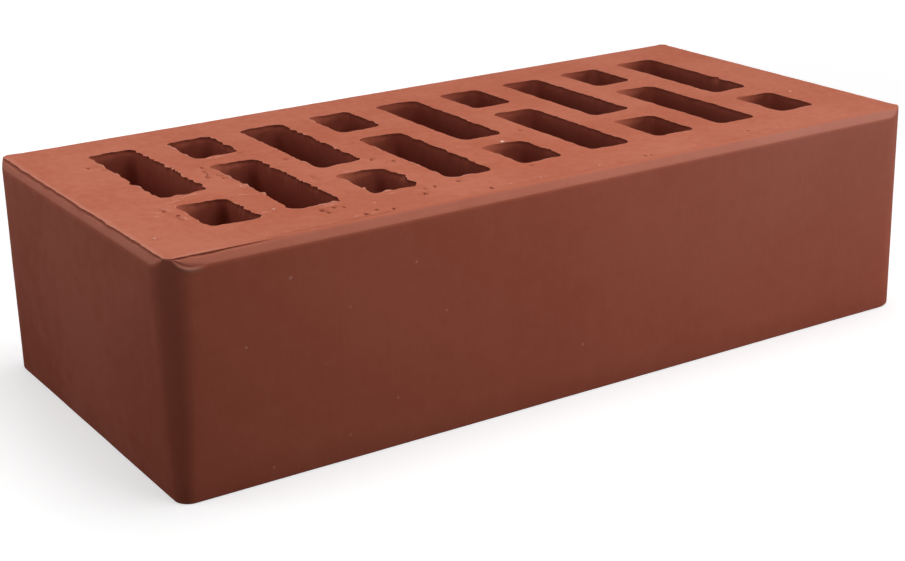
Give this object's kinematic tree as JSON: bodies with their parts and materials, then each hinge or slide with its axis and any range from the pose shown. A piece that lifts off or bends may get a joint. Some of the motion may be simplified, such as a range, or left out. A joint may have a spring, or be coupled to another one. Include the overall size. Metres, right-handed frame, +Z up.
{
  "type": "perforated clay brick",
  "caption": "Perforated clay facing brick: a rectangular fired block with bevelled upper edges, rounded corners and alternating long and short through holes, laid in mortar.",
  "frame": {"origin": "middle of the lower bed face, on the surface that the brick lies on", "axes": "+X along the brick's length, +Y across it towards the back stretcher face, +Z up through the holes"},
  "size_m": [0.25, 0.12, 0.065],
  "materials": {
    "fired_clay": "matte, dry fired red clay"
  },
  "bodies": {
    "root": {"brick": "fired_clay"}
  },
  "joints": []
}
